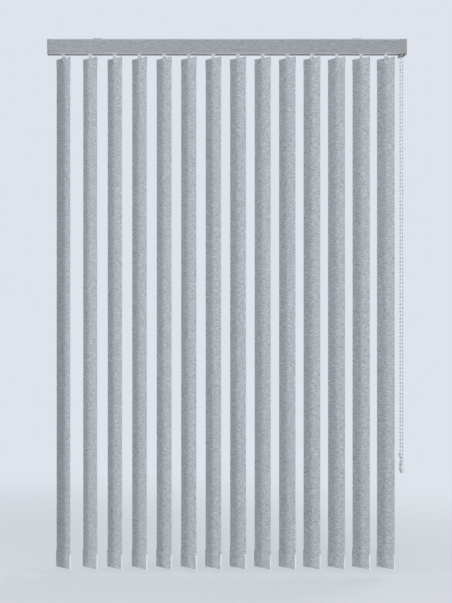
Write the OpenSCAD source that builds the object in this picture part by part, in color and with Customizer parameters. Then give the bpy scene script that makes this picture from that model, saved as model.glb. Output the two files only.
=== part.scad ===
// Vertical blind: a slotted headrail with a fabric front, fourteen hanging fabric louvres on geared
// carriers, a grooved tilt rod turned by a bead-chain sprocket, and a chain tidy at the loop's foot.
// X runs along the headrail, Y from the room towards the window, Z up. The ceiling plane is Z = 0 and
// the louvres' turning axes stand in the plane Y = 0. All sizes are in millimetres.

/* [Blind] */
// Headrail length over the end cap and the control housing
overall_length = 1108; // [900:1:1500]
// Distance from the left end of the headrail to the lead louvre's axis
first_inset = 49.4; // [40:0.2:80]
// Extra distance between the lead louvre and its neighbour
lead_gap = 6.6; // [0:0.2:8]
// Distance from the control end of the headrail to the last louvre's axis
last_inset = 64; // [62:0.5:80]
// Angle of the louvres from the headrail as stored
rest_tilt = 57.5; // [12:0.5:90]
// Clearance between pieces that move past each other
clear = 0.3; // [0.2:0.05:0.4]

/* [Headrail] */
// Height of the headrail
rail_height = 46; // [44:0.5:60]
// Depth of the headrail, front to back
rail_depth = 40; // [38:0.5:50]
// Distance from the louvre axes to the headrail's front face
rail_front = 13; // [12.5:0.1:15]
// Wall of the aluminium section
rail_wall = 1.6; // [1.2:0.1:2]
// Width of the slot that the hook stems run in
slot_width = 12; // [11.6:0.1:13]
// Width of the slot that the brackets clip into
bracket_slot = 10; // [8:0.5:11]
// Thickness of the fabric strip on the headrail's front
insert_thickness = 0.6; // [0.4:0.1:0.7]
// Room in the groove that holds the fabric strip
insert_groove = 0.8; // [0.8:0.1:1.2]
// Thickness of the lips over the fabric strip's edges
lip_thickness = 0.9; // [0.7:0.1:1.2]
// Height of the lip along the top of the fabric strip
lip_top = 2.7; // [2:0.1:4]
// Height of the lip along the bottom of the fabric strip
lip_bottom = 3.5; // [2.5:0.1:5]
// Outside diameter of the screw ports inside the section
port_d = 4.8; // [4.4:0.1:5.4]

/* [End pieces] */
// Thickness of the left end cap's plate
cap_plate = 6; // [4:0.5:10]
// Depth of the left end cap's plug inside the headrail
cap_plug = 10; // [8:0.5:16]
// Width of the control housing
housing_width = 22; // [20:0.5:30]
// Wall of the control housing
housing_wall = 2; // [1.6:0.1:2.4]
// Wall of the control housing beside the headrail
housing_inner_wall = 1.2; // [1:0.1:1.6]
// Depth of the flared mouth on its louvre side
mouth_depth = 8.7; // [6:0.1:9]
// Distance that the mouth flares towards the louvres
mouth_flare = 5.6; // [3:0.1:7]
// Wall of the mouth
mouth_wall = 1.5; // [1.2:0.1:2]
// Diameter of the end screws' shanks
screw_d = 2.4; // [2:0.1:2.8]
// Diameter of the end screws' heads
screw_head_d = 5.2; // [4.6:0.1:6]
// Height of the end screws' heads
screw_head_h = 1.2; // [0.8:0.1:2]
// Length of thread that each end screw has in the headrail
screw_grip = 8; // [6:0.5:14]

/* [Brackets] */
// Distance from each end of the headrail to the middle of its ceiling bracket
bracket_inset = 154; // [120:1:310]
// Length of a bracket along the headrail
bracket_length = 28; // [20:1:40]
// Thickness of a bracket's plate
bracket_plate = 2.5; // [2:0.1:4]
// Width of a bracket's plate
bracket_width = 24; // [18:0.5:26]
// Thickness of a bracket's legs and feet
bracket_leg = 1.2; // [1:0.1:1.5]
// Length of a bracket's feet under the headrail's top wall
bracket_foot = 3.6; // [3:0.1:4]
// Diameter of a bracket's ceiling screw hole
bracket_hole_d = 4.5; // [4:0.1:6]

/* [Tilt rod and carriers] */
// Diameter of the tilt rod
rod_d = 6; // [5:0.1:6.5]
// Width and depth of the tilt rod's four grooves
rod_groove = 1; // [0.6:0.1:1.2]
// Distance of the tilt rod behind the louvre axes
rod_offset = 9; // [8.8:0.1:10]
// Height of the tilt rod above the headrail's underside
rod_height = 20.5; // [19:0.1:23]
// Length of a carrier along the headrail
carrier_length = 15; // [14.5:0.1:16]
// Height of a carrier's body above the tilt rod
carrier_crown = 8; // [7:0.1:9]
// Wall around a carrier's bores
carrier_wall = 1.6; // [1.2:0.1:2]
// Depth of a carrier's keel below the headrail
keel_depth = 1.5; // [1:0.1:2]
// Diameter of the toothed wheel on a hook stem
wheel_d = 11; // [10:0.1:11.2]
// Thickness of the toothed wheel
wheel_h = 6; // [4:0.1:7]
// Width of a spacer strip between carriers
spacer_width = 8; // [6:0.5:9]
// Thickness of a spacer strip
spacer_thickness = 0.6; // [0.4:0.1:0.8]
// Length of a spacer strip beyond the carrier that it draws
spacer_tail = 8; // [6:0.5:10]

/* [Hook stems] */
// Diameter of a hook's stem
stem_d = 6; // [5:0.1:6.4]
// Diameter of the boss under a carrier
boss_d = 9; // [8:0.1:10]
// Distance from the headrail's underside to a louvre's top edge
louvre_gap = 11.5; // [10:0.1:16]
// Room between a hook's boss and a louvre's top edge
boss_room = 2.5; // [1.5:0.1:3]
// Width of a hook's fingers
finger_width = 7.5; // [4:0.1:8]
// Thickness of a hook's fingers
finger_thickness = 1.8; // [1.2:0.1:1.9]
// Length of the front finger below a louvre's top edge
finger_length = 11; // [10:0.1:14]
// Length of the rear finger below a louvre's top edge
rear_finger_length = 2.6; // [1.5:0.1:3]
// Depth of the peg that a louvre hangs from
peg_depth = 2.5; // [2:0.1:3.5]
// Distance from a louvre's top edge down to the peg
peg_drop = 4; // [3.4:0.1:5]

/* [Louvres] */
// Width of a louvre
louvre_width = 89; // [80:0.5:92]
// Length of a louvre
louvre_length = 1573; // [1200:1:2200]
// Thickness of the fabric
fabric_thickness = 0.5; // [0.4:0.05:0.8]
// Height of the folded top pocket
pocket_height = 32; // [24:1:40]
// Thickness of the top pocket with its hanger
pocket_thickness = 1.8; // [1.4:0.1:2]
// Width of the hole that the hook's peg goes through
hanger_hole_w = 10; // [9:0.1:14]
// Height of the hole that the hook's peg goes through
hanger_hole_h = 7; // [5:0.1:9]
// Height of the bottom hem
hem_height = 57; // [52:0.5:70]
// Thickness of the bottom hem with its weight
hem_thickness = 4; // [2:0.1:4.2]
// Height of the bottom weight
weight_height = 49; // [40:0.5:50]
// Length of the bottom weight's bare end at the front edge
weight_end = 0.6; // [0.4:0.1:8]
// Distance that the bottom weight stands out of the louvre's front edge
weight_proud = 1; // [0.4:0.1:1.6]
// Diameter of the round lugs at the top of the bottom weight
lug_d = 5; // [4:0.1:6]

/* [Bead chain] */
// Diameter of a bead
bead_d = 5.5; // [4.5:0.1:5.8]
// Distance from bead to bead
bead_pitch = 11; // [10.4:0.1:11.4]
// Diameter of the string between the beads
string_d = 1.4; // [1:0.1:1.8]
// Number of beads in each hanging strand
strand_beads = 115; // [60:1:180]
// Sideways distance that the mouth spreads each strand
strand_lean = 2.5; // [2:0.1:3.2]
// Thickness of the sprocket's flanges
flange_thickness = 1.2; // [1:0.1:1.4]
// Height that the sprocket's flanges stand above the beads' centres
flange_rise = 2.5; // [1.5:0.1:3]
// Width of the ribs between the sprocket's pockets
rib_width = 2.5; // [2:0.1:3]

/* [Chain tidy] */
// Wall of the tidy's plate and rim
tidy_wall = 1.4; // [1:0.1:2.2]
// Room around the chain inside the tidy
tidy_room = 0.5; // [0.4:0.1:0.8]
// Height of the tidy's sides above the loop's centre
tidy_side = 22; // [16:0.5:30]
// Diameter of the tidy's screw boss
tidy_boss_d = 15; // [12:0.1:16]
// Thickness of the tidy's screw boss
tidy_boss_h = 6.4; // [5:0.1:7]
// Distance of the screw boss behind the loop's centre
tidy_boss_back = 21; // [20:0.1:24]
// Height of the screw boss above the loop's centre
tidy_boss_up = 39; // [36:0.5:46]
// Diameter of the tidy's screw hole
tidy_hole_d = 4.4; // [4:0.1:5]

/* [Hidden] */

$fn = 48;
COUNT = 14;
pockets = 6;
LEVELS = 5;
TEETH = 10;
EPS = 0.01;

rail_colour = "#a4a7ab";
fabric_colour = "#a3a9af";
plastic_colour = "#9a9da2";
carrier_colour = "#c9cbcd";
hook_colour = "#b9bbbd";
chain_colour = "#c4c6c8";
steel_colour = "#b2b5b8";
clear_colour = "#dfe2e4";

// Headrail levels and faces
x_left = -overall_length / 2;
x_right = overall_length / 2;
rail_x0 = x_left + cap_plate;
rail_x1 = x_right - housing_width;
rail_top = -bracket_plate;
rail_under = rail_top - rail_height;
front_y = -rail_front;
back_y = rail_depth - rail_front;
groove_y = front_y + lip_thickness;
insert_y = groove_y + insert_groove;
inner_front_y = insert_y + rail_wall;
inner_back_y = back_y - rail_wall;
flange_top = rail_under + rail_wall;
edge_wall = rail_wall * 0.75;
web_top = rail_top - rail_wall - bracket_leg - 3 * clear;
web_under = web_top - rail_wall;

// Screw ports along the back wall
port_y = inner_back_y - port_d / 2 + 0.2;
port_z = [rail_top - rail_wall - port_d / 2 + 0.2, flange_top + port_d / 2 - 0.2];

// Brackets
bracket_spacing = overall_length - 2 * bracket_inset;

// Louvre axes
last_x = x_right - last_inset;
louvre_pitch = (overall_length - first_inset - last_inset - lead_gap) / (COUNT - 1);
function axis_x(i) = last_x - louvre_pitch * (COUNT - i) - (i == 1 ? lead_gap : 0);
function gap_before(i) = axis_x(i) - axis_x(i - 1);

// Tilt rod and carriers
rod_z = rail_under + rod_height;
rod_bore = rod_d + 2 * clear + 0.2;
wheel_room = wheel_d + 4 * clear + 0.2;
cavity_h = wheel_h + 2 * clear;
carrier_y0 = inner_front_y + clear;
carrier_y1 = rod_offset + rod_bore / 2 + carrier_wall;
carrier_z0 = flange_top + clear;
carrier_z1 = rod_z + carrier_crown;
keel_z = rail_under - keel_depth;
keel_half = slot_width / 2 - 2 * clear;
stem_bore = stem_d + 2 * clear;
window_half = spacer_width / 2 + 2.5;
post = 1.5;
post_half = carrier_length / 3;
level_z0 = carrier_z1 + 1.5;
window_top = web_under - 2 * clear - post;
spacer_step = (window_top - spacer_thickness - 2 * clear - level_z0) / (LEVELS - 1);

// Hooks and louvres
louvre_top = rail_under - louvre_gap;
louvre_low = louvre_top - louvre_length;
boss_top = keel_z - clear;
boss_low = louvre_top + boss_room;
finger_in = pocket_thickness / 2 + clear / 2;
peg_top = louvre_top - peg_drop;
weight_top = louvre_low + weight_height;

// Bead chain
housing_x0 = rail_x1;
wheel_r = bead_pitch / (2 * sin(180 / pockets));
groove_half = bead_d / 2 + 1.25;
sprocket_half = groove_half + flange_thickness;
sprocket_x = housing_x0 + housing_inner_wall + 2 * clear + sprocket_half;
core_r = wheel_r - bead_d / 2 - 1;
front_strand = [sprocket_x + strand_lean, rod_offset - wheel_r];
rear_strand = [sprocket_x - strand_lean, rod_offset + wheel_r];
run_length = 2.5 * bead_pitch;
rib_gap = string_d / 2 + 0.65 * strand_lean * bead_pitch / run_length + clear;
run_drop = sqrt(run_length * run_length - strand_lean * strand_lean);
strand_top = rod_z - run_drop;
strand_low = strand_top - strand_beads * bead_pitch;
loop_z = strand_low - bead_pitch / 2;
loop_r = sqrt(strand_lean * strand_lean + wheel_r * wheel_r);
loop_turn = atan2(2 * wheel_r, -2 * strand_lean);

// Chain tidy, in the plane of the loop
tidy_in = loop_r + bead_d / 2 + tidy_room;
tidy_out = tidy_in + tidy_wall;
tidy_post_r = loop_r - bead_d / 2 - tidy_room;
tidy_half = bead_d / 2 + tidy_room;

// Extrudes an outline drawn in Y and Z along X
module along_x(x0, x1) translate([x0, 0, 0]) rotate([90, 0, 90]) linear_extrude(x1 - x0) children();

// Extrudes an outline drawn in X and Z along Y
module along_y(y0, y1) translate([0, y1, 0]) rotate([90, 0, 0]) linear_extrude(y1 - y0) children();

// A box between two corners
module block(a, b) translate(a) cube(b - a);

// A rectangle between two corners
module area(a, b) translate(a) square(b - a);

// A round bar along X
module bar_x(x0, x1, y, z, d) translate([x0, y, z]) rotate([0, 90, 0]) cylinder(d = d, h = x1 - x0);

// A straight string between two points
module string(p, q) {
    v = q - p;
    translate(p)
        rotate([0, acos(v.z / norm(v)), atan2(v.y, v.x)])
            cylinder(d = string_d, h = norm(v), $fn = 24);
}

module bead(p) translate(p) sphere(d = bead_d, $fn = 24);

// The section of the headrail, with its front groove, its two slots, its web and its screw ports
module rail_section() {
    difference() {
        union() {
            difference() {
                area([front_y, rail_under], [back_y, rail_top]);
                area([inner_front_y, flange_top], [inner_back_y, rail_top - rail_wall]);
            }
            area([inner_front_y - EPS, web_under], [inner_back_y + EPS, web_top]);
            for (z = port_z) translate([port_y, z]) circle(d = port_d);
        }
        area([groove_y, rail_under + edge_wall], [insert_y, rail_top - edge_wall]);
        area([front_y - 1, rail_under + lip_bottom], [insert_y, rail_top - lip_top]);
        area([-slot_width / 2, rail_under - 1], [slot_width / 2, flange_top + 1]);
        area([-bracket_slot / 2, rail_top - rail_wall - 1], [bracket_slot / 2, rail_top + 1]);
        for (z = port_z) translate([port_y, z]) circle(d = screw_d);
    }
}

module headrail() color(rail_colour) along_x(rail_x0, rail_x1) rail_section();

module fabric_insert() color(fabric_colour)
    block([rail_x0, insert_y - insert_thickness, rail_under + edge_wall + clear / 2],
          [rail_x1, insert_y, rail_top - edge_wall - clear / 2]);

// End plate with the tilt rod's bush on its plug
module end_cap_left() color(plastic_colour)
    difference() {
        union() {
            block([x_left, front_y, rail_under], [rail_x0, back_y, rail_top]);
            block([rail_x0 - EPS, inner_front_y + clear, flange_top + clear],
                  [rail_x0 + cap_plug, port_y - port_d / 2 - clear, carrier_z1]);
        }
        bar_x(rail_x0 + 1, rail_x0 + cap_plug + 1, rod_offset, rod_z, rod_bore);
        for (z = port_z) bar_x(x_left - 1, rail_x0 + 1, port_y, z, screw_d + clear);
    }

// Outline of the flared mouth under the control housing, seen from the room
function mouth_outline(w) = [
    [housing_x0 + w, rail_under],
    [x_right - w, rail_under],
    [x_right - mouth_flare + 0.2 - w, rail_under - mouth_depth / 2],
    [housing_x0 - mouth_flare + w, rail_under - mouth_depth]
];

module mouth_cut() {
    w = mouth_wall;
    polygon([
        [housing_x0 + housing_inner_wall, rail_under + housing_wall + 1],
        [x_right - housing_wall, rail_under + housing_wall + 1],
        [x_right - housing_wall, rail_under],
        [x_right - mouth_flare - w, rail_under - mouth_depth / 2],
        [x_right - mouth_flare - w, rail_under - mouth_depth - 1],
        [housing_x0 - mouth_flare + w, rail_under - mouth_depth - 1],
        [housing_x0 - mouth_flare + w, rail_under - mouth_depth + w],
        [housing_x0 + housing_inner_wall, rail_under]
    ]);
}

// Hollow end housing around the sprocket, with the rod's outer bush and the flared mouth, open in front
module control_housing() color(plastic_colour)
    difference() {
        union() {
            difference() {
                union() {
                    block([housing_x0, front_y, rail_under], [x_right, back_y, rail_top]);
                    along_y(front_strand.y - bead_d, rear_strand.y + bead_d) polygon(mouth_outline(0));
                }
                block([housing_x0 + housing_inner_wall, front_y + housing_wall, rail_under + housing_wall],
                      [x_right - housing_wall, back_y - housing_wall, rail_top - housing_wall]);
                along_y(front_strand.y - bead_d - 1, rear_strand.y + bead_d - mouth_wall)
                    mouth_cut();
            }
            bar_x(sprocket_x + sprocket_half + 2 * clear, x_right - housing_wall + EPS,
                  rod_offset, rod_z, rod_bore + 2 * carrier_wall);
        }
        bar_x(housing_x0 - 1, x_right - housing_wall, rod_offset, rod_z, rod_bore);
        for (z = port_z) bar_x(housing_x0 - 1, x_right + 1, port_y, z, screw_d + clear);
    }

module end_screw(head_x, way, length, z) {
    x0 = way > 0 ? head_x : head_x - length;
    bar_x(x0, x0 + length, port_y, z, screw_d);
    h0 = way > 0 ? head_x - screw_head_h : head_x;
    bar_x(h0, h0 + screw_head_h, port_y, z, screw_head_d);
}

module end_screws() color(steel_colour)
    for (z = port_z) {
        end_screw(x_left, 1, cap_plate + screw_grip, z);
        end_screw(x_right, -1, housing_width + screw_grip, z);
    }

// Ceiling plate with two legs that clip under the headrail's top wall
module bracket(x) {
    leg_y = bracket_slot / 2 - clear;
    foot_z = rail_top - rail_wall - clear;
    difference() {
        block([x - bracket_length / 2, -bracket_width / 2, rail_top],
              [x + bracket_length / 2, bracket_width / 2, 0]);
        translate([x, 0, rail_top - 1]) cylinder(d = bracket_hole_d, h = bracket_plate + 2);
    }
    for (s = [-1, 1]) {
        y = [s * leg_y, s * (leg_y - bracket_leg), s * (leg_y + bracket_foot)];
        block([x - bracket_length / 2, min(y[0], y[1]), foot_z - bracket_leg],
              [x + bracket_length / 2, max(y[0], y[1]), rail_top + EPS]);
        block([x - bracket_length / 2, min(y[1], y[2]), foot_z - bracket_leg],
              [x + bracket_length / 2, max(y[1], y[2]), foot_z]);
    }
}

module bracket_left() color(steel_colour) bracket(-bracket_spacing / 2);

module bracket_right() color(steel_colour) bracket(bracket_spacing / 2);

// Round rod with four grooves that turn the gear in every carrier
module tilt_rod() color(steel_colour)
    along_x(rail_x0 + 2, x_right - housing_wall - 1)
        translate([rod_offset, rod_z])
            difference() {
                circle(d = rod_d);
                for (a = [0:90:270]) rotate(a)
                    translate([rod_d / 2 - rod_groove, -rod_groove / 2])
                        square([rod_groove + 1, rod_groove]);
            }

// Two flanges on a core, with split ribs that hold the beads apart
module chain_sprocket() color(plastic_colour)
    difference() {
        translate([sprocket_x, rod_offset, rod_z]) {
            bar_x(-sprocket_half, sprocket_half, 0, 0, 2 * core_r);
            for (s = [-1, 1])
                bar_x(s > 0 ? groove_half : -sprocket_half, s > 0 ? sprocket_half : -groove_half,
                      0, 0, 2 * (wheel_r + flange_rise));
            for (k = [0:pockets - 1], s = [-1, 1])
                rotate([(k + 0.5) * 360 / pockets, 0, 0])
                    block([s > 0 ? rib_gap : -groove_half - EPS, core_r - 0.5, -rib_width / 2],
                          [s > 0 ? groove_half + EPS : -rib_gap, wheel_r + 1.5, rib_width / 2]);
        }
        bar_x(sprocket_x - sprocket_half - 1, sprocket_x + sprocket_half + 1,
              rod_offset, rod_z, rod_d + 0.1);
    }

function wheel_point(a) = [sprocket_x, rod_offset + wheel_r * cos(a), rod_z + wheel_r * sin(a)];

// The run from the sprocket to the mouth, ending midway between two beads
module chain_run(start, lean) {
    way = [lean, 0, -run_drop] / run_length;
    string(start, start + way * (run_length - 0.15));
    for (k = [1, 2]) bead(start + way * bead_pitch * k);
}

module chain_top() color(chain_colour) {
    step = 360 / pockets;
    for (k = [0:pockets / 2]) bead(wheel_point(k * step));
    for (k = [0:pockets / 2 - 1]) string(wheel_point(k * step), wheel_point((k + 1) * step));
    chain_run(wheel_point(0), -strand_lean);
    chain_run(wheel_point(180), strand_lean);
}

// A straight hanging strand, turned as one profile
module chain_strand() {
    length = strand_beads * bead_pitch;
    rotate_extrude($fn = 24)
        intersection() {
            union() {
                for (k = [0:strand_beads - 1])
                    translate([0, -(k + 0.5) * bead_pitch]) circle(d = bead_d, $fn = 24);
                area([-string_d / 2, -length], [string_d / 2, 0]);
            }
            area([0, -length], [bead_d, 0]);
        }
}

module chain_front() color(chain_colour)
    translate([front_strand.x, front_strand.y, strand_top]) chain_strand();

module chain_rear() color(chain_colour)
    translate([rear_strand.x, rear_strand.y, strand_top]) chain_strand();

// The plane of the hanging loop: X from the front strand to the rear one, Y towards the louvres
module in_loop() translate([sprocket_x, rod_offset, loop_z]) rotate([0, 0, loop_turn]) children();

function loop_point(a) = [loop_r * cos(a), 0, loop_r * sin(a)];

module chain_foot() color(chain_colour) in_loop() {
    step = 360 / pockets;
    for (k = [0:pockets / 2])
        translate(loop_point(-k * step)) rotate([90, 0, 0]) rotate(step / 2) bead([0, 0, 0]);
    for (k = [0:pockets / 2 - 1]) string(loop_point(-k * step), loop_point(-(k + 1) * step));
    for (s = [-1, 1]) string([s * loop_r, 0, 0], [s * loop_r, 0, bead_pitch / 2]);
}

// Outline of the tidy's plate, with its arm up to the screw boss
module tidy_outline() {
    circle(r = tidy_out);
    area([-tidy_out, 0], [tidy_out, tidy_side]);
    polygon([
        [tidy_out - 10, tidy_side - EPS],
        [tidy_out, tidy_side - EPS],
        [tidy_boss_back + tidy_boss_d * 0.4, tidy_boss_up - tidy_boss_d * 0.3],
        [tidy_boss_back - tidy_boss_d * 0.4, tidy_boss_up + tidy_boss_d * 0.3]
    ]);
    translate([tidy_boss_back, tidy_boss_up]) circle(d = tidy_boss_d);
}

// Plate beside the loop, with a guide post inside it, a rim outside it and a screw boss
module chain_tidy() color(clear_colour) in_loop()
    difference() {
        union() {
            along_y(-tidy_half - tidy_wall, -tidy_half) tidy_outline();
            along_y(-tidy_half - EPS, tidy_half) circle(r = tidy_post_r);
            along_y(tidy_half - EPS, tidy_half + tidy_wall) circle(r = tidy_post_r + 1.2);
            along_y(-tidy_half - EPS, tidy_half)
                difference() {
                    union() {
                        circle(r = tidy_out);
                        area([-tidy_out, 0], [tidy_out, tidy_side]);
                    }
                    circle(r = tidy_in);
                    area([-tidy_in, 0], [tidy_in, tidy_side + 1]);
                }
            along_y(-tidy_half - tidy_wall, -tidy_half - tidy_wall + tidy_boss_h)
                translate([tidy_boss_back, tidy_boss_up]) circle(d = tidy_boss_d);
        }
        along_y(-tidy_half - tidy_wall - 1, tidy_half + tidy_boss_h)
            translate([tidy_boss_back, tidy_boss_up]) circle(d = tidy_hole_d);
    }

// Spacer strip of a carrier, at the level that lets it pass the strips beside it
module spacer(i) {
    z = level_z0 + spacer_step * (i % LEVELS);
    block([-gap_before(i) - spacer_tail, -spacer_width / 2, z],
          [post_half, spacer_width / 2, z + spacer_thickness]);
    block([-post_half, -window_half - EPS, z], [post_half, window_half + EPS, z + spacer_thickness]);
}

// Closed gear housing that slides on the headrail's flanges, with a window for the spacer strips
module carrier(i) translate([axis_x(i), 0, 0]) {
    half = carrier_length / 2;
    difference() {
        union() {
            block([-half, carrier_y0, carrier_z0], [half, carrier_y1, carrier_z1]);
            block([-half + 1, -keel_half, keel_z], [half - 1, keel_half, carrier_z0 + EPS]);
        }
        bar_x(-half - 1, half + 1, rod_offset, rod_z, rod_bore);
        translate([0, 0, rod_z - cavity_h / 2]) cylinder(d = wheel_room, h = cavity_h);
        translate([0, 0, keel_z - 1]) cylinder(d = stem_bore, h = rod_z - keel_z + 1);
    }
    for (s = [-1, 1])
        block([-post_half, min(s * window_half, s * (window_half + post)), carrier_z1 - EPS],
              [post_half, max(s * window_half, s * (window_half + post)), window_top + post]);
    block([-post_half, -window_half - EPS, window_top], [post_half, window_half + EPS, window_top + post]);
    if (i > 1) spacer(i);
}

// Turns what hangs on a louvre axis to the stored angle: X along the louvre's width
module on_axis(i) translate([axis_x(i), 0, 0]) rotate([0, 0, -rest_tilt]) children();

// Toothed wheel and stem, with a boss and a forked hook whose peg carries the louvre
module hook_stem(i) on_axis(i) {
    translate([0, 0, rod_z - wheel_h / 2])
        linear_extrude(wheel_h) {
            circle(d = wheel_d - 2.4);
            for (k = [0:TEETH - 1]) rotate(k * 360 / TEETH)
                translate([0, -0.65]) square([wheel_d / 2 - 0.1, 1.3]);
        }
    translate([0, 0, boss_top - EPS]) cylinder(d = stem_d, h = rod_z - boss_top);
    translate([0, 0, boss_low]) cylinder(d = boss_d, h = boss_top - boss_low);
    block([-finger_width / 2, -finger_in - finger_thickness, louvre_top - finger_length],
          [finger_width / 2, -finger_in, boss_low + EPS]);
    block([-finger_width / 2, finger_in, louvre_top - rear_finger_length],
          [finger_width / 2, finger_in + finger_thickness, boss_low + EPS]);
    block([-finger_width / 3, -finger_in - EPS, peg_top - peg_depth],
          [finger_width / 3, finger_in + finger_thickness, peg_top]);
}

// Fabric strip with a folded top pocket, a bottom hem and the weight's bare ends
module louvre(i) on_axis(i) {
    w = louvre_width / 2;
    block([-w, -fabric_thickness / 2, louvre_low + hem_height - 1],
          [w, fabric_thickness / 2, louvre_top - pocket_height + 1]);
    difference() {
        block([-w, -pocket_thickness / 2, louvre_top - pocket_height],
              [w, pocket_thickness / 2, louvre_top]);
        block([-hanger_hole_w / 2, -pocket_thickness, peg_top - hanger_hole_h],
              [hanger_hole_w / 2, pocket_thickness, peg_top]);
    }
    block([-w, -hem_thickness / 2, louvre_low],
          [w - weight_end, hem_thickness / 2, louvre_low + hem_height]);
    block([w - weight_end - EPS, -hem_thickness / 2, louvre_low],
          [w + weight_proud, hem_thickness / 2, weight_top]);
    block([w - weight_end - EPS, -fabric_thickness / 2, weight_top - 1],
          [w, fabric_thickness / 2, louvre_low + hem_height]);
    for (s = [-1, 1])
        along_y(-hem_thickness / 2, hem_thickness / 2)
            translate([s * w, weight_top - lug_d / 2]) circle(d = lug_d);
}

module carrier_01() color(carrier_colour) carrier(1);
module carrier_02() color(carrier_colour) carrier(2);
module carrier_03() color(carrier_colour) carrier(3);
module carrier_04() color(carrier_colour) carrier(4);
module carrier_05() color(carrier_colour) carrier(5);
module carrier_06() color(carrier_colour) carrier(6);
module carrier_07() color(carrier_colour) carrier(7);
module carrier_08() color(carrier_colour) carrier(8);
module carrier_09() color(carrier_colour) carrier(9);
module carrier_10() color(carrier_colour) carrier(10);
module carrier_11() color(carrier_colour) carrier(11);
module carrier_12() color(carrier_colour) carrier(12);
module carrier_13() color(carrier_colour) carrier(13);
module carrier_14() color(carrier_colour) carrier(14);

module hook_stem_01() color(hook_colour) hook_stem(1);
module hook_stem_02() color(hook_colour) hook_stem(2);
module hook_stem_03() color(hook_colour) hook_stem(3);
module hook_stem_04() color(hook_colour) hook_stem(4);
module hook_stem_05() color(hook_colour) hook_stem(5);
module hook_stem_06() color(hook_colour) hook_stem(6);
module hook_stem_07() color(hook_colour) hook_stem(7);
module hook_stem_08() color(hook_colour) hook_stem(8);
module hook_stem_09() color(hook_colour) hook_stem(9);
module hook_stem_10() color(hook_colour) hook_stem(10);
module hook_stem_11() color(hook_colour) hook_stem(11);
module hook_stem_12() color(hook_colour) hook_stem(12);
module hook_stem_13() color(hook_colour) hook_stem(13);
module hook_stem_14() color(hook_colour) hook_stem(14);

module louvre_01() color(fabric_colour) louvre(1);
module louvre_02() color(fabric_colour) louvre(2);
module louvre_03() color(fabric_colour) louvre(3);
module louvre_04() color(fabric_colour) louvre(4);
module louvre_05() color(fabric_colour) louvre(5);
module louvre_06() color(fabric_colour) louvre(6);
module louvre_07() color(fabric_colour) louvre(7);
module louvre_08() color(fabric_colour) louvre(8);
module louvre_09() color(fabric_colour) louvre(9);
module louvre_10() color(fabric_colour) louvre(10);
module louvre_11() color(fabric_colour) louvre(11);
module louvre_12() color(fabric_colour) louvre(12);
module louvre_13() color(fabric_colour) louvre(13);
module louvre_14() color(fabric_colour) louvre(14);

headrail();
fabric_insert();
end_cap_left();
control_housing();
end_screws();
bracket_left();
bracket_right();
tilt_rod();
chain_sprocket();
chain_top();
chain_front();
chain_rear();
chain_foot();
chain_tidy();
carrier_01();
carrier_02();
carrier_03();
carrier_04();
carrier_05();
carrier_06();
carrier_07();
carrier_08();
carrier_09();
carrier_10();
carrier_11();
carrier_12();
carrier_13();
carrier_14();
hook_stem_01();
hook_stem_02();
hook_stem_03();
hook_stem_04();
hook_stem_05();
hook_stem_06();
hook_stem_07();
hook_stem_08();
hook_stem_09();
hook_stem_10();
hook_stem_11();
hook_stem_12();
hook_stem_13();
hook_stem_14();
louvre_01();
louvre_02();
louvre_03();
louvre_04();
louvre_05();
louvre_06();
louvre_07();
louvre_08();
louvre_09();
louvre_10();
louvre_11();
louvre_12();
louvre_13();
louvre_14();
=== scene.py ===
import math

import bmesh
import bpy
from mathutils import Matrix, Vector


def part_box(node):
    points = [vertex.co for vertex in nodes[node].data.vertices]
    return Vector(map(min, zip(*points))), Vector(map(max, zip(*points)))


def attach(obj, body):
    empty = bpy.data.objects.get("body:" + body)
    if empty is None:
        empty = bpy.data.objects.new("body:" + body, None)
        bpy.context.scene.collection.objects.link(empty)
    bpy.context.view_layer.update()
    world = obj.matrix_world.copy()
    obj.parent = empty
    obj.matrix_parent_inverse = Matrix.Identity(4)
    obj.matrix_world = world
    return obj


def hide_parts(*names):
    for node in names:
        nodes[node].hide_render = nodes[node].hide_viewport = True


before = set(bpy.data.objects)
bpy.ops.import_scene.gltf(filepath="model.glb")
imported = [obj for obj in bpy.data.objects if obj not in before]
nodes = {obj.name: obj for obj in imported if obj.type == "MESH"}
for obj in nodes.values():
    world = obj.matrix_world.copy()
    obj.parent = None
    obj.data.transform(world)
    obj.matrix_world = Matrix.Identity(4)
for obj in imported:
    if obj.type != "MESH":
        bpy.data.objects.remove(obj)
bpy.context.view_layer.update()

# sizes of the louvres and the front strip, in metres as in the blind's own drawing
MM = 0.001
LOUVRES = 14
PITCH = 76 * MM
LEAD_GAP = 6.6 * MM
LAST_AXIS = 490 * MM
REST_TILT = math.radians(57.5)
LOUVRE_HALF = 44.5 * MM
LOUVRE_TOP = -60 * MM
LOUVRE_LOW = -1633 * MM
POCKET_LOW = LOUVRE_TOP - 32 * MM
POCKET_SIDE = 0.63 * MM
SEAM_SIDE = 0.5 * MM
HEM_TOP = LOUVRE_LOW + 57 * MM
WEIGHT_TOP = LOUVRE_LOW + 49 * MM
HEM_HALF = 2 * MM
HOLE_TOP = LOUVRE_TOP - 4 * MM
HOLE_LOW = HOLE_TOP - 7 * MM
HOLE_HALF = 5 * MM
CLOTH = 0.45 * MM
CLOTH_ROWS = 12
CLOTH_COLUMN = 25 * MM
HANGER_WIDTH = 80 * MM
HANGER_HEIGHT = 27 * MM
HANGER_WALL = 0.7 * MM
HANGER_EDGE = 0.12 * MM
WEIGHT_END = 0.6 * MM
WEIGHT_PROUD = 1 * MM
WEIGHT_PLATE_HALF = 1.4 * MM
WEIGHT_PLATE_INSET = 0.8 * MM
WEIGHT_PLATE_FOOT = 1.2 * MM
WEIGHT_GRIP_ROOM = 0.05 * MM
WEIGHT_EDGE = 0.3 * MM
CLIP_SHOULDER = 5.5 * MM
CLIP_STEPS = (1.2 * MM, 2.4 * MM)
CLIP_INSET = 0.3 * MM
LUG_R = 2.5 * MM
LUG_RIM = 0.8 * MM
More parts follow.
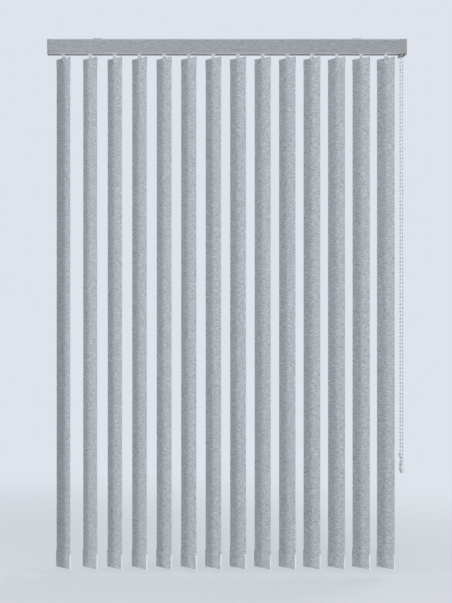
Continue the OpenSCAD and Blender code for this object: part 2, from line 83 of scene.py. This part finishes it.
LUG_ROOM = 0.1 * MM
LUG_DISH = 0.8
STRIP_COLUMNS = 24
STRIP_ROWS = 6

# sizes of the bead chain
BEAD_R = 2.75 * MM
BEAD_PITCH = 11 * MM
STRING_R = 0.7 * MM
STRAND_BEADS = 115
SPROCKET_X = 539 * MM
ROD_Y = 9 * MM
ROD_Z = -28 * MM
SPROCKET_R = 11 * MM
STRAND_LEAN = 2.5 * MM
LEANING_RUN = 2.5 * BEAD_PITCH
FOOT_GAPS = 3
FOOT_STEPS = 24
PATH_STEPS = 30
PATH_FOOT_STEPS = 16

# studio and camera
FLOOR_Z = -1655 * MM
FLOOR_R = 9
CARD_WIDTH = 130 * MM
CARD_REACH = 170 * MM
PALE_BACKDROP = (0.73, 0.77, 0.84)
CAMERA_AWAY = 6.0
CAMERA_Z = -857 * MM
SENSOR_MM = 36
PICTURE_HEIGHT_PX = 603
SCALE_PX_PER_MM = 0.3241
SHIFT_RIGHT_PX = -0.98
SHIFT_UP_PX = 14.95

# limits and angles for working, and the roughness that both cloths share with the card
NEAR = 1e-6
FACING = 0.9
BEVEL_ANGLE = math.radians(40)
SMOOTH_ANGLE = math.radians(35)
CLOTH_SMOOTH_ANGLE = math.radians(50)
FABRIC_ROUGHNESS = 0.88


def axis_x(number):
    """Place of a louvre's turning axis along the headrail."""
    return LAST_AXIS - PITCH * (LOUVRES - number) - (LEAD_GAP if number == 1 else 0.0)


# working by hand

def deselect():
    if bpy.context.mode != "OBJECT":
        bpy.ops.object.mode_set(mode="OBJECT")
    bpy.ops.object.select_all(action="DESELECT")


def take(piece):
    deselect()
    piece.select_set(True)
    bpy.context.view_layer.objects.active = piece


def fix_place(piece):
    take(piece)
    bpy.ops.object.transform_apply(location=True, rotation=True, scale=True)
    return piece


def apply_modifiers(piece):
    take(piece)
    for modifier in list(piece.modifiers):
        bpy.ops.object.modifier_apply(modifier=modifier.name)


def copy_of(piece, name):
    twin = piece.copy()
    twin.data = piece.data.copy()
    twin.name = name
    twin.data.name = name
    bpy.context.collection.objects.link(twin)
    return twin


def join(pieces, name):
    deselect()
    for piece in pieces:
        piece.select_set(True)
    bpy.context.view_layer.objects.active = pieces[0]
    bpy.ops.object.join()
    pieces[0].name = name
    pieces[0].data.name = name
    return pieces[0]


def upright_sheet(name, place, width, height):
    """A flat sheet that faces the front, ready to be cut and folded."""
    deselect()
    bpy.ops.mesh.primitive_plane_add(size=1, location=place, rotation=(math.pi / 2, 0, 0))
    piece = bpy.context.object
    piece.name = name
    piece.scale = (width, height, 1)
    return fix_place(piece)


def block(name, low, high):
    """A box primitive at its size and place, ready to be shaped."""
    deselect()
    centre = [(a + b) / 2 for a, b in zip(low, high)]
    bpy.ops.mesh.primitive_cube_add(size=1, location=centre)
    piece = bpy.context.object
    piece.name = name
    piece.scale = [b - a for a, b in zip(low, high)]
    return fix_place(piece)


def clear_picks(mesh):
    for part in (mesh.faces, mesh.edges, mesh.verts):
        for item in part:
            item.select = False


def pick_edges(piece, test):
    """In edit mode, selects the edges whose two ends pass the test."""
    mesh = bmesh.from_edit_mesh(piece.data)
    clear_picks(mesh)
    for edge in mesh.edges:
        if all(test(corner.co) for corner in edge.verts):
            edge.select = True
    mesh.select_flush_mode()
    bmesh.update_edit_mesh(piece.data)


def pick_faces(piece, test):
    """In edit mode, selects the faces whose middle and normal pass the test."""
    mesh = bmesh.from_edit_mesh(piece.data)
    clear_picks(mesh)
    for face in mesh.faces:
        if test(face.calc_center_median(), face.normal):
            face.select = True
    mesh.select_flush_mode()
    bmesh.update_edit_mesh(piece.data)


def draw_on(step):
    """Extrudes what is picked by a step."""
    bpy.ops.mesh.extrude_region_move(TRANSFORM_OT_translate={"value": step})


def fold(points):
    """Draws the picked edge on through (across, up) points, and gives the cloth's length along them."""
    length = 0.0
    for (y0, z0), (y1, z1) in zip(points, points[1:]):
        draw_on((0, y1 - y0, z1 - z0))
        length += math.hypot(y1 - y0, z1 - z0)
    return length


def cut(place, normal):
    """Divides the whole mesh along a plane."""
    bpy.ops.mesh.select_all(action="SELECT")
    bpy.ops.mesh.bisect(plane_co=place, plane_no=normal)


def thicken(piece, thickness):
    """Gives a flat sheet its thickness, half to each side."""
    wall = piece.modifiers.new("wall", "SOLIDIFY")
    wall.thickness = thickness
    wall.offset = 0
    apply_modifiers(piece)


def soften(piece, width):
    """Rounds the sharp edges and shades the rest smooth."""
    bevel = piece.modifiers.new("edges", "BEVEL")
    bevel.width = width
    bevel.segments = 2
    bevel.limit_method = "ANGLE"
    bevel.angle_limit = BEVEL_ANGLE
    apply_modifiers(piece)
    bpy.ops.object.shade_smooth_by_angle(angle=SMOOTH_ANGLE)


# finishes

def group_nodes(name, inputs, outputs):
    tree = bpy.data.node_groups.new(name, "ShaderNodeTree")
    for label, kind, value in inputs:
        socket = tree.interface.new_socket(label, in_out="INPUT", socket_type=kind)
        socket.default_value = value
    for label, kind in outputs:
        tree.interface.new_socket(label, in_out="OUTPUT", socket_type=kind)
    return tree, tree.nodes.new("NodeGroupInput"), tree.nodes.new("NodeGroupOutput")


def set_values(node, values):
    """Sets a node's inputs by their labels."""
    for label, value in values.items():
        node.inputs[label].default_value = value


def math_node(tree, operation, first, second):
    node = tree.nodes.new("ShaderNodeMath")
    node.operation = operation
    for socket, value in zip(node.inputs, (first, second)):
        if isinstance(value, (int, float)):
            socket.default_value = value
        else:
            tree.links.new(value, socket)
    return node.outputs[0]


def weighed(tree, shares):
    """Sum of the given masks, each times its weight."""
    total = None
    for mask, weight in shares:
        share = math_node(tree, "MULTIPLY", mask, weight)
        total = share if total is None else math_node(tree, "ADD", total, share)
    return total


def noise(tree, vector, scale, detail=2.0, rough=0.5):
    node = tree.nodes.new("ShaderNodeTexNoise")
    set_values(node, {"Scale": scale, "Detail": detail, "Roughness": rough})
    tree.links.new(vector, node.inputs["Vector"])
    return node.outputs["Fac"]


def stretched(tree, vector, scale):
    node = tree.nodes.new("ShaderNodeMapping")
    node.inputs["Scale"].default_value = scale
    tree.links.new(vector, node.inputs["Vector"])
    return node.outputs["Vector"]


def weave_group():
    """Level weft threads with thick and thin stretches, over a faint upright warp."""
    tree, ins, outs = group_nodes(
        "slub_weave",
        [("Vector", "NodeSocketVector", (0, 0, 0)), ("Slub", "NodeSocketFloat", 0.5)],
        [("Shade", "NodeSocketFloat"), ("Height", "NodeSocketFloat")],
    )
    vector = ins.outputs["Vector"]
    thread = noise(tree, stretched(tree, vector, (40, 40, 900)), 1.0, 1.0)
    slub = noise(tree, stretched(tree, vector, (75, 75, 310)), 1.0, 1.5, 0.55)
    band = noise(tree, stretched(tree, vector, (2, 2, 60)), 1.0, 2.0, 0.5)
    warp = noise(tree, stretched(tree, vector, (1400, 1400, 25)), 1.0, 0.0)
    tone = weighed(tree, [(thread, 0.35), (slub, ins.outputs["Slub"]), (band, 0.05), (warp, 0.08)])
    relief = weighed(tree, [(thread, 0.7), (slub, 0.5), (warp, 0.25)])
    tree.links.new(tone, outs.inputs["Shade"])
    tree.links.new(relief, outs.inputs["Height"])
    return tree


def grain_group():
    """Fine moulded grain with faint handling marks."""
    tree, ins, outs = group_nodes(
        "moulded_grain",
        [("Vector", "NodeSocketVector", (0, 0, 0)), ("Grain", "NodeSocketFloat", 1600.0)],
        [("Mask", "NodeSocketFloat"), ("Marks", "NodeSocketFloat")],
    )
    node = tree.nodes.new("ShaderNodeTexNoise")
    node.inputs["Detail"].default_value = 1.0
    tree.links.new(ins.outputs["Vector"], node.inputs["Vector"])
    tree.links.new(ins.outputs["Grain"], node.inputs["Scale"])
    tree.links.new(node.outputs["Fac"], outs.inputs["Mask"])
    tree.links.new(noise(tree, ins.outputs["Vector"], 60.0, 4.0, 0.6), outs.inputs["Marks"])
    return tree


def drawn_group():
    """Lengthwise die lines of a drawn metal section."""
    tree, ins, outs = group_nodes(
        "drawn_lines",
        [("Vector", "NodeSocketVector", (0, 0, 0))],
        [("Lines", "NodeSocketFloat"), ("Clouds", "NodeSocketFloat")],
    )
    vector = ins.outputs["Vector"]
    tree.links.new(noise(tree, stretched(tree, vector, (3, 1500, 1500)), 1.0, 2.0), outs.inputs["Lines"])
    tree.links.new(noise(tree, stretched(tree, vector, (8, 40, 40)), 1.0, 3.0), outs.inputs["Clouds"])
    return tree


SLUB_WEAVE = weave_group()
MOULDED_GRAIN = grain_group()
DRAWN_LINES = drawn_group()


def finish_named(name):
    material = bpy.data.materials.new(name)
    material.use_nodes = True
    tree = material.node_tree
    shader = tree.nodes["Principled BSDF"]
    place = tree.nodes.new("ShaderNodeTexCoord")
    return material, tree, shader, place.outputs["Object"]


def placed(tree, group, vector, **values):
    node = tree.nodes.new("ShaderNodeGroup")
    node.node_tree = group
    tree.links.new(vector, node.inputs["Vector"])
    set_values(node, values)
    return node


def ramp(tree, factor, stops):
    node = tree.nodes.new("ShaderNodeValToRGB")
    for index, (place, colour) in enumerate(stops):
        stop = node.color_ramp.elements[index] if index < 2 else node.color_ramp.elements.new(place)
        stop.position = place
        stop.color = (*colour, 1)
    tree.links.new(factor, node.inputs["Fac"])
    return node.outputs["Color"]


def raised(tree, height, strength, distance):
    node = tree.nodes.new("ShaderNodeBump")
    set_values(node, {"Strength": strength, "Distance": distance})
    tree.links.new(height, node.inputs["Height"])
    return node.outputs["Normal"]


def shade(colour, amount):
    return tuple(channel * amount for channel in colour)


def rough_stops(roughness):
    """Ramp stops that vary a roughness by 15 percent either way."""
    return [(0.3, (roughness * 0.85,) * 3), (0.7, (roughness * 1.15,) * 3)]


def woven(name, colour, contrast):
    material, tree, shader, vector = finish_named(name)
    weave = placed(tree, SLUB_WEAVE, vector, Slub=0.70)
    tones = [(0.44, shade(colour, 1 - contrast)), (0.59, colour), (0.74, shade(colour, 1 + contrast))]
    tree.links.new(ramp(tree, weave.outputs["Shade"], tones), shader.inputs["Base Color"])
    set_values(shader, {"Roughness": FABRIC_ROUGHNESS, "Specular IOR Level": 0.25})
    set_values(shader, {"Sheen Weight": 0.12, "Sheen Roughness": 0.6})
    tree.links.new(raised(tree, weave.outputs["Height"], 0.5, 0.00025), shader.inputs["Normal"])
    return material


def moulded(name, colour, roughness, grain=1600.0, strength=0.12):
    material, tree, shader, vector = finish_named(name)
    pattern = placed(tree, MOULDED_GRAIN, vector, Grain=grain)
    marks = pattern.outputs["Marks"]
    tones = [(0.3, shade(colour, 0.94)), (0.7, shade(colour, 1.04))]
    tree.links.new(ramp(tree, marks, tones), shader.inputs["Base Color"])
    tree.links.new(ramp(tree, marks, rough_stops(roughness)), shader.inputs["Roughness"])
    tree.links.new(raised(tree, pattern.outputs["Mask"], strength, 0.0001), shader.inputs["Normal"])
    return material


def drawn_metal(name, colour, roughness, metallic=0.75):
    material, tree, shader, vector = finish_named(name)
    pattern = placed(tree, DRAWN_LINES, vector)
    lines = pattern.outputs["Lines"]
    tones = [(0.35, shade(colour, 0.95)), (0.65, shade(colour, 1.04))]
    tree.links.new(ramp(tree, pattern.outputs["Clouds"], tones), shader.inputs["Base Color"])
    tree.links.new(ramp(tree, lines, rough_stops(roughness)), shader.inputs["Roughness"])
    shader.inputs["Metallic"].default_value = metallic
    tree.links.new(raised(tree, lines, 0.15, 0.00006), shader.inputs["Normal"])
    return material


FABRIC_BLUE_GREY = (0.400, 0.428, 0.448)
FABRIC = woven("louvre_fabric", FABRIC_BLUE_GREY, 0.28)
# The front strip is the same cloth as the louvres, given a darker colour as painted shade over the
# headrail's front.
STRIP_FABRIC_PAINTED_SHADE = woven("front_strip_fabric_painted_shade", (0.238, 0.255, 0.270), 0.18)
RAIL_METAL = drawn_metal("satin_rail", (0.285, 0.295, 0.305), 0.55, 0.15)
ROD_METAL = drawn_metal("mill_rod", (0.60, 0.61, 0.62), 0.35)
CLIP_STEEL = drawn_metal("zinc_steel", (0.30, 0.31, 0.32), 0.6, 0.3)
END_PLASTIC = moulded("grey_end_plastic", (0.198, 0.207, 0.219), 0.55)
CARRIER_PLASTIC = moulded("pale_carrier_plastic", (0.60, 0.61, 0.62), 0.45)
HOOK_PLASTIC = moulded("milky_hook_plastic", (0.48, 0.485, 0.49), 0.42, 900.0, 0.05)
set_values(HOOK_PLASTIC.node_tree.nodes["Principled BSDF"], {
    "Subsurface Weight": 0.25, "Subsurface Radius": (3 * MM, 3 * MM, 3 * MM), "Subsurface Scale": 1.0,
})
CHAIN_PLASTIC = moulded("bead_plastic", (0.50, 0.505, 0.51), 0.30, 900.0, 0.05)
WEIGHT_PLASTIC = moulded("white_weight_plastic", (0.74, 0.74, 0.75), 0.35, 1200.0, 0.06)
CLEAR_PLASTIC = moulded("clear_tidy_plastic", (0.84, 0.85, 0.86), 0.22, 700.0, 0.04)
set_values(CLEAR_PLASTIC.node_tree.nodes["Principled BSDF"], {"Alpha": 0.45, "IOR": 1.49})


def dress(name, material):
    """Gives a frame node its finish."""
    piece = nodes[name]
    piece.data.materials.clear()
    piece.data.materials.append(material)


def coat(piece, material):
    """Gives all the faces of a joined piece one finish."""
    piece.data.materials.clear()
    piece.data.materials.append(material)
    for polygon in piece.data.polygons:
        polygon.material_index = 0


dress("headrail", RAIL_METAL)
for name in ("end_cap_left", "control_housing", "chain_sprocket"):
    dress(name, END_PLASTIC)
for name in ("end_screws", "bracket_left", "bracket_right"):
    dress(name, CLIP_STEEL)
dress("tilt_rod", ROD_METAL)
dress("chain_top", CHAIN_PLASTIC)
dress("chain_tidy", CLEAR_PLASTIC)
for number in range(1, LOUVRES + 1):
    dress(f"carrier_{number:02d}", CARRIER_PLASTIC)
    dress(f"hook_stem_{number:02d}", HOOK_PLASTIC)


# louvres

def pocket_fold():
    """The cloth's way up one side of the top pocket, over its crown and down to the seam."""
    side = POCKET_SIDE
    crown = 0.42 * MM
    top = LOUVRE_TOP
    return [
        (0, POCKET_LOW), (-SEAM_SIDE, POCKET_LOW + 1.2 * MM), (-side, POCKET_LOW + 2.5 * MM),
        (-side, HOLE_LOW), (-side, HOLE_TOP), (-side, top - 1.0 * MM),
        (-crown, top - 0.5 * MM), (0, top - 0.3 * MM), (crown, top - 0.5 * MM),
        (side, top - 1.0 * MM), (side, HOLE_TOP), (side, HOLE_LOW),
        (side, POCKET_LOW + 2.5 * MM), (0.55 * MM, POCKET_LOW + 1.0 * MM),
        (SEAM_SIDE, POCKET_LOW - 1.0 * MM),
    ]


def hem_fold():
    """The cloth's way down one side of the weight, under it and up to the hem's seam."""
    side = HEM_HALF - CLOTH / 2
    low = LOUVRE_LOW
    half_way = (HEM_TOP + WEIGHT_TOP) / 2
    return [
        (0, HEM_TOP), (-0.3 * side, half_way),
        (-0.85 * side, WEIGHT_TOP + 0.5 * MM), (-side, WEIGHT_TOP - 1.5 * MM),
        (-side, low + 2 * MM), (-0.75 * side, low + 0.8 * MM), (0, low + 0.3 * MM),
        (0.75 * side, low + 0.8 * MM), (side, low + 2 * MM),
        (side, WEIGHT_TOP - 1.5 * MM), (0.85 * side, WEIGHT_TOP + 0.5 * MM),
        (0.5 * side, half_way), (SEAM_SIDE, HEM_TOP + 0.5 * MM),
    ]


def louvre_cloth():
    """One strip of cloth, folded over a hanger at its top and round a weight at its foot."""
    length = POCKET_LOW - HEM_TOP
    cloth = upright_sheet("louvre_cloth", (0, 0, (POCKET_LOW + HEM_TOP) / 2), 2 * LOUVRE_HALF, length)
    bpy.ops.object.mode_set(mode="EDIT")
    bpy.ops.mesh.select_mode(type="EDGE")
    pick_edges(cloth, lambda co: co.z > POCKET_LOW - NEAR)
    length += fold(pocket_fold())
    pick_edges(cloth, lambda co: abs(co.z - HEM_TOP) < NEAR and abs(co.y) < NEAR)
    length += fold(hem_fold())
    for across in (-HOLE_HALF, HOLE_HALF, -CLOTH_COLUMN, CLOTH_COLUMN):
        cut((across, 0, 0), (1, 0, 0))
    for row in range(1, CLOTH_ROWS):
        cut((0, 0, POCKET_LOW + (HEM_TOP - POCKET_LOW) * row / CLOTH_ROWS), (0, 0, 1))
    bpy.ops.mesh.select_mode(type="FACE")
    pick_faces(cloth, lambda co, normal: abs(co.x) < HOLE_HALF and HOLE_LOW < co.z < HOLE_TOP)
    bpy.ops.mesh.delete(type="FACE")
    bpy.ops.object.mode_set(mode="OBJECT")
    thicken(cloth, CLOTH)
    bpy.ops.object.shade_smooth_by_angle(angle=CLOTH_SMOOTH_ANGLE)
    cloth.data.materials.append(FABRIC)
    return cloth, round(length, 3)


def louvre_hanger():
    """Thin moulded strip in the top pocket, with the hole that the hook's peg goes through."""
    middle = (POCKET_LOW + LOUVRE_TOP) / 2
    hanger = upright_sheet("louvre_hanger", (0, 0, middle), HANGER_WIDTH, HANGER_HEIGHT)
    bpy.ops.object.mode_set(mode="EDIT")
    for across in (-HOLE_HALF, HOLE_HALF):
        cut((across, 0, 0), (1, 0, 0))
    for up in (HOLE_LOW, HOLE_TOP):
        cut((0, 0, up), (0, 0, 1))
    bpy.ops.mesh.select_mode(type="FACE")
    pick_faces(hanger, lambda co, normal: abs(co.x) < HOLE_HALF and HOLE_LOW < co.z < HOLE_TOP)
    bpy.ops.mesh.delete(type="FACE")
    bpy.ops.object.mode_set(mode="OBJECT")
    thicken(hanger, HANGER_WALL)
    soften(hanger, HANGER_EDGE)
    hanger.data.materials.append(WEIGHT_PLASTIC)
    return hanger


def bottom_weight():
    """White plate in the hem, with a clip over the cloth's front edge and a lug at each upper corner."""
    half = LOUVRE_HALF
    grip = HEM_HALF + WEIGHT_GRIP_ROOM
    plate = block(
        "plate",
        (-half + WEIGHT_PLATE_INSET, -WEIGHT_PLATE_HALF, LOUVRE_LOW + WEIGHT_PLATE_FOOT),
        (half, WEIGHT_PLATE_HALF, WEIGHT_TOP),
    )
    clip = block(
        "clip",
        (half - WEIGHT_END, -grip, LOUVRE_LOW),
        (half + WEIGHT_PROUD, grip, WEIGHT_TOP - CLIP_SHOULDER),
    )
    bpy.ops.object.mode_set(mode="EDIT")
    bpy.ops.mesh.select_mode(type="FACE")
    pick_faces(clip, lambda co, normal: normal.z > FACING)
    bpy.ops.mesh.inset(thickness=CLIP_INSET)
    for rise in CLIP_STEPS:
        draw_on((0, 0, rise))
    bpy.ops.object.mode_set(mode="OBJECT")
    pieces = [clip, plate]
    for side in (-1, 1):
        deselect()
        bpy.ops.mesh.primitive_cylinder_add(
            vertices=20, radius=LUG_R, depth=2 * HEM_HALF - LUG_ROOM,
            location=(side * half, 0, WEIGHT_TOP - LUG_R), rotation=(math.pi / 2, 0, 0),
        )
        lug = fix_place(bpy.context.object)
        bpy.ops.object.mode_set(mode="EDIT")
        bpy.ops.mesh.select_mode(type="FACE")
        pick_faces(lug, lambda co, normal: abs(normal.y) > FACING)
        bpy.ops.mesh.inset(thickness=LUG_RIM, use_individual=True)
        bpy.ops.transform.resize(value=(1, LUG_DISH, 1))
        bpy.ops.object.mode_set(mode="OBJECT")
        pieces.append(lug)
    for piece in pieces:
        soften(piece, WEIGHT_EDGE)
    weight = join(pieces, "bottom_weight")
    coat(weight, WEIGHT_PLASTIC)
    return weight


def hang(pattern, name, number):
    """A copy of the pattern, turned and moved to its louvre's place."""
    piece = copy_of(pattern, name)
    piece.rotation_euler = (0, 0, -REST_TILT)
    piece.location = (axis_x(number), 0, 0)
    return fix_place(piece)


cloth_pattern, cloth_length = louvre_cloth()
hanger_pattern = louvre_hanger()
weight_pattern = bottom_weight()
for number in range(1, LOUVRES + 1):
    tag = f"{number:02d}"
    cloth = hang(cloth_pattern, f"louvre_cloth_{tag}", number)
    hanger = hang(hanger_pattern, f"louvre_hanger_{tag}", number)
    weight = hang(weight_pattern, f"bottom_weight_{tag}", number)
    for piece in (cloth, hanger, weight):
        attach(piece, f"vane_{tag}")
    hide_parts(f"louvre_{tag}")
for pattern in (cloth_pattern, hanger_pattern, weight_pattern):
    bpy.data.objects.remove(pattern)


# headrail front

def front_strip():
    """Fabric strip that fills the groove in the headrail's front."""
    low, high = (Vector(corner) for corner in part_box("fabric_insert"))
    strip = upright_sheet("front_strip", (low + high) / 2, high.x - low.x, high.z - low.z)
    bpy.ops.object.mode_set(mode="EDIT")
    for step in range(1, STRIP_COLUMNS):
        cut((low.x + (high.x - low.x) * step / STRIP_COLUMNS, 0, 0), (1, 0, 0))
    for step in range(1, STRIP_ROWS):
        cut((0, 0, low.z + (high.z - low.z) * step / STRIP_ROWS), (0, 0, 1))
    bpy.ops.object.mode_set(mode="OBJECT")
    thicken(strip, high.y - low.y)
    # The strip's darker cloth colour is painted shade, not a different cloth.
    strip.data.materials.append(STRIP_FABRIC_PAINTED_SHADE)
    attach(strip, "rail")
    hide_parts("fabric_insert")


front_strip()


# bead chain

def bead_at(place):
    deselect()
    bpy.ops.mesh.primitive_uv_sphere_add(segments=12, ring_count=8, radius=BEAD_R, location=place)
    bpy.ops.object.shade_smooth()
    return fix_place(bpy.context.object)


def strand(place):
    """A bead on its string, repeated downwards."""
    bead = bead_at((0, 0, -BEAD_PITCH / 2))
    deselect()
    bpy.ops.mesh.primitive_cylinder_add(
        vertices=8, radius=STRING_R, depth=BEAD_PITCH, end_fill_type="NOTHING",
        location=(0, 0, -BEAD_PITCH / 2),
    )
    bpy.ops.object.shade_smooth()
    cell = join([bead, fix_place(bpy.context.object)], "strand")
    row = cell.modifiers.new("row", "ARRAY")
    row.count = STRAND_BEADS
    row.use_relative_offset = False
    row.use_constant_offset = True
    row.constant_offset_displace = (0, 0, -BEAD_PITCH)
    apply_modifiers(cell)
    cell.location = place
    return fix_place(cell)


def bead_chain():
    """Both strands and the foot of the endless loop, from below the sprocket down and back."""
    top = ROD_Z - math.sqrt(LEANING_RUN * LEANING_RUN - STRAND_LEAN * STRAND_LEAN)
    low = top - STRAND_BEADS * BEAD_PITCH - BEAD_PITCH / 2
    front = Vector((SPROCKET_X + STRAND_LEAN, ROD_Y - SPROCKET_R, 0))
    rear = Vector((SPROCKET_X - STRAND_LEAN, ROD_Y + SPROCKET_R, 0))
    centre = (front + rear) / 2 + Vector((0, 0, low))
    across = (rear - front) / 2
    radius = across.length

    def on_loop(turn):
        return centre - across * math.cos(turn) - Vector((0, 0, radius * math.sin(turn)))

    pieces = [strand((front.x, front.y, top)), strand((rear.x, rear.y, top))]
    pieces += [bead_at(on_loop(step * math.pi / FOOT_GAPS)) for step in range(FOOT_GAPS + 1)]
    deselect()
    start = (front.x, front.y, low + BEAD_PITCH / 2)
    bpy.ops.mesh.primitive_circle_add(vertices=8, radius=STRING_R, location=start)
    foot = fix_place(bpy.context.object)
    bpy.ops.object.mode_set(mode="EDIT")
    bpy.ops.mesh.select_mode(type="EDGE")
    bpy.ops.mesh.select_all(action="SELECT")
    draw_on((0, 0, -BEAD_PITCH / 2))
    turning_axis = across.cross(Vector((0, 0, -1))).normalized()
    bpy.ops.mesh.spin(steps=FOOT_STEPS, angle=math.pi, center=centre, axis=turning_axis)
    draw_on((0, 0, BEAD_PITCH / 2))
    bpy.ops.mesh.select_all(action="SELECT")
    bpy.ops.mesh.remove_doubles(threshold=NEAR)
    bpy.ops.mesh.normals_make_consistent(inside=False)
    bpy.ops.object.mode_set(mode="OBJECT")
    bpy.ops.object.shade_smooth()
    chain = join(pieces + [foot], "bead_chain")
    coat(chain, CHAIN_PLASTIC)
    steps = range(PATH_STEPS + 1)
    path = [(front.x, front.y, top + (low - top) * step / PATH_STEPS) for step in steps]
    path += [tuple(on_loop(step * math.pi / PATH_FOOT_STEPS)) for step in range(1, PATH_FOOT_STEPS)]
    path += [(rear.x, rear.y, low + (top - low) * step / PATH_STEPS) for step in steps]
    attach(chain, "rail")
    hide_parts("chain_front", "chain_rear", "chain_foot")


bead_chain()


# studio

def studio_floor():
    """Pale floor that keeps the blind's shadow and runs out into the pale surroundings."""
    material, tree, shader, vector = finish_named("studio_floor")
    pattern = placed(tree, MOULDED_GRAIN, vector, Grain=300.0)
    tones = [(0.3, (0.90, 0.915, 0.94)), (0.7, (0.92, 0.935, 0.96))]
    tree.links.new(ramp(tree, pattern.outputs["Marks"], tones), shader.inputs["Base Color"])
    shader.inputs["Roughness"].default_value = 0.9
    glow = tree.nodes.new("ShaderNodeEmission")
    glow.inputs["Color"].default_value = (*PALE_BACKDROP, 1)
    ray = tree.nodes.new("ShaderNodeLightPath")
    seen = math_node(tree, "MAXIMUM", ray.outputs["Is Camera Ray"], ray.outputs["Is Transmission Ray"])
    away = tree.nodes.new("ShaderNodeVectorMath")
    away.operation = "LENGTH"
    tree.links.new(vector, away.inputs[0])
    spread = tree.nodes.new("ShaderNodeMapRange")
    spread.interpolation_type = "SMOOTHSTEP"
    set_values(spread, {"From Min": 1.9, "From Max": 4.5, "To Min": 0.45, "To Max": 1.0})
    tree.links.new(away.outputs["Value"], spread.inputs["Value"])
    mix = tree.nodes.new("ShaderNodeMixShader")
    tree.links.new(math_node(tree, "MULTIPLY", seen, spread.outputs["Result"]), mix.inputs["Fac"])
    tree.links.new(shader.outputs["BSDF"], mix.inputs[1])
    tree.links.new(glow.outputs["Emission"], mix.inputs[2])
    under = tree.nodes.new("ShaderNodeMixShader")
    tree.links.new(tree.nodes.new("ShaderNodeNewGeometry").outputs["Backfacing"], under.inputs["Fac"])
    tree.links.new(mix.outputs["Shader"], under.inputs[1])
    tree.links.new(tree.nodes.new("ShaderNodeBsdfTransparent").outputs["BSDF"], under.inputs[2])
    tree.links.new(under.outputs["Shader"], tree.nodes["Material Output"].inputs["Surface"])
    deselect()
    bpy.ops.mesh.primitive_circle_add(
        vertices=96, radius=FLOOR_R, fill_type="NGON", location=(0, 0, FLOOR_Z),
    )
    floor = fix_place(bpy.context.object)
    floor.name = "studio_floor"
    floor.data.materials.append(material)


def card_finish():
    """Plain cloth that shades only what is close behind it, so that the floor stays clear."""
    material, tree, shader, _ = finish_named("shade_card")
    set_values(shader, {"Base Color": (*FABRIC_BLUE_GREY, 1), "Roughness": FABRIC_ROUGHNESS})
    ray = tree.nodes.new("ShaderNodeLightPath")
    mix = tree.nodes.new("ShaderNodeMixShader")
    far = math_node(tree, "GREATER_THAN", ray.outputs["Ray Length"], CARD_REACH)
    tree.links.new(far, mix.inputs["Fac"])
    tree.links.new(shader.outputs["BSDF"], mix.inputs[1])
    tree.links.new(tree.nodes.new("ShaderNodeBsdfTransparent").outputs["BSDF"], mix.inputs[2])
    tree.links.new(mix.outputs["Shader"], tree.nodes["Material Output"].inputs["Surface"])
    return material


def shade_card():
    """Unseen card that shades the lead louvre from the key light, as each louvre shades the next."""
    middle = (LOUVRE_TOP + LOUVRE_LOW) / 2
    card = upright_sheet("shade_card", (0, 0, middle), CARD_WIDTH, LOUVRE_TOP - LOUVRE_LOW)
    card.rotation_euler = (0, 0, -REST_TILT)
    card.location = (axis_x(1) - PITCH, 0, 0)
    fix_place(card)
    card.data.materials.append(card_finish())
    card.visible_camera = False


def soft_light(name, place, aim, size, power):
    """Round lamp of the given size in metres and power in watts, turned to its aim."""
    deselect()
    bpy.ops.object.light_add(type="AREA", location=place)
    lamp = bpy.context.object
    lamp.name = name
    lamp.data.shape = "DISK"
    lamp.data.size = size
    lamp.data.energy = power
    lamp.rotation_euler = (Vector(aim) - Vector(place)).to_track_quat("-Z", "Y").to_euler()


def surroundings():
    """Even pale backdrop to the eye, and light that is dimmer from above than from the sides."""
    world = bpy.data.worlds.new("pale_room")
    bpy.context.scene.world = world
    world.use_nodes = True
    tree = world.node_tree
    back = tree.nodes["Background"]
    place = tree.nodes.new("ShaderNodeTexCoord")
    axes = tree.nodes.new("ShaderNodeSeparateXYZ")
    tree.links.new(place.outputs["Generated"], axes.inputs["Vector"])
    tones = [(0.0, (0.74, 0.76, 0.79)), (0.75, (0.30, 0.305, 0.32))]
    tree.links.new(ramp(tree, axes.outputs["Z"], tones), back.inputs["Color"])
    seen = tree.nodes.new("ShaderNodeBackground")
    set_values(seen, {"Color": (*PALE_BACKDROP, 1), "Strength": 1.0})
    mix = tree.nodes.new("ShaderNodeMixShader")
    rays = tree.nodes.new("ShaderNodeLightPath").outputs
    mirrored = math_node(tree, "MAXIMUM", rays["Is Glossy Ray"], rays["Is Transmission Ray"])
    either = math_node(tree, "MAXIMUM", rays["Is Camera Ray"], mirrored)
    tree.links.new(either, mix.inputs["Fac"])
    tree.links.new(back.outputs["Background"], mix.inputs[1])
    tree.links.new(seen.outputs["Background"], mix.inputs[2])
    tree.links.new(mix.outputs["Shader"], tree.nodes["World Output"].inputs["Surface"])


studio_floor()
shade_card()
surroundings()
soft_light("key", place=(-3.45, -2.85, -0.8), aim=(0, 0, -1.0), size=1.7, power=53)
soft_light("front_fill", place=(0.4, -6.4, -0.15), aim=(0, 0, -1.1), size=3.0, power=240)
soft_light("back_fill", place=(2.6, 4.6, 0.4), aim=(0, 0, -0.8), size=2.6, power=70)


def front_camera():
    """Level camera at the louvres' middle, which shows them at the scale that the sizes were read at."""
    focal_px = SCALE_PX_PER_MM * CAMERA_AWAY / MM
    data = bpy.data.cameras.new("camera")
    camera = bpy.data.objects.new("camera", data)
    bpy.context.collection.objects.link(camera)
    camera.location = (0, -CAMERA_AWAY, CAMERA_Z)
    camera.rotation_euler = (math.pi / 2, 0, 0)
    data.sensor_width = SENSOR_MM
    data.lens = SENSOR_MM * focal_px / PICTURE_HEIGHT_PX
    data.shift_x = SHIFT_RIGHT_PX / PICTURE_HEIGHT_PX
    data.shift_y = SHIFT_UP_PX / PICTURE_HEIGHT_PX
    data.clip_end = 60
    bpy.context.scene.camera = camera


front_camera()
bpy.context.scene.view_settings.view_transform = "Standard"
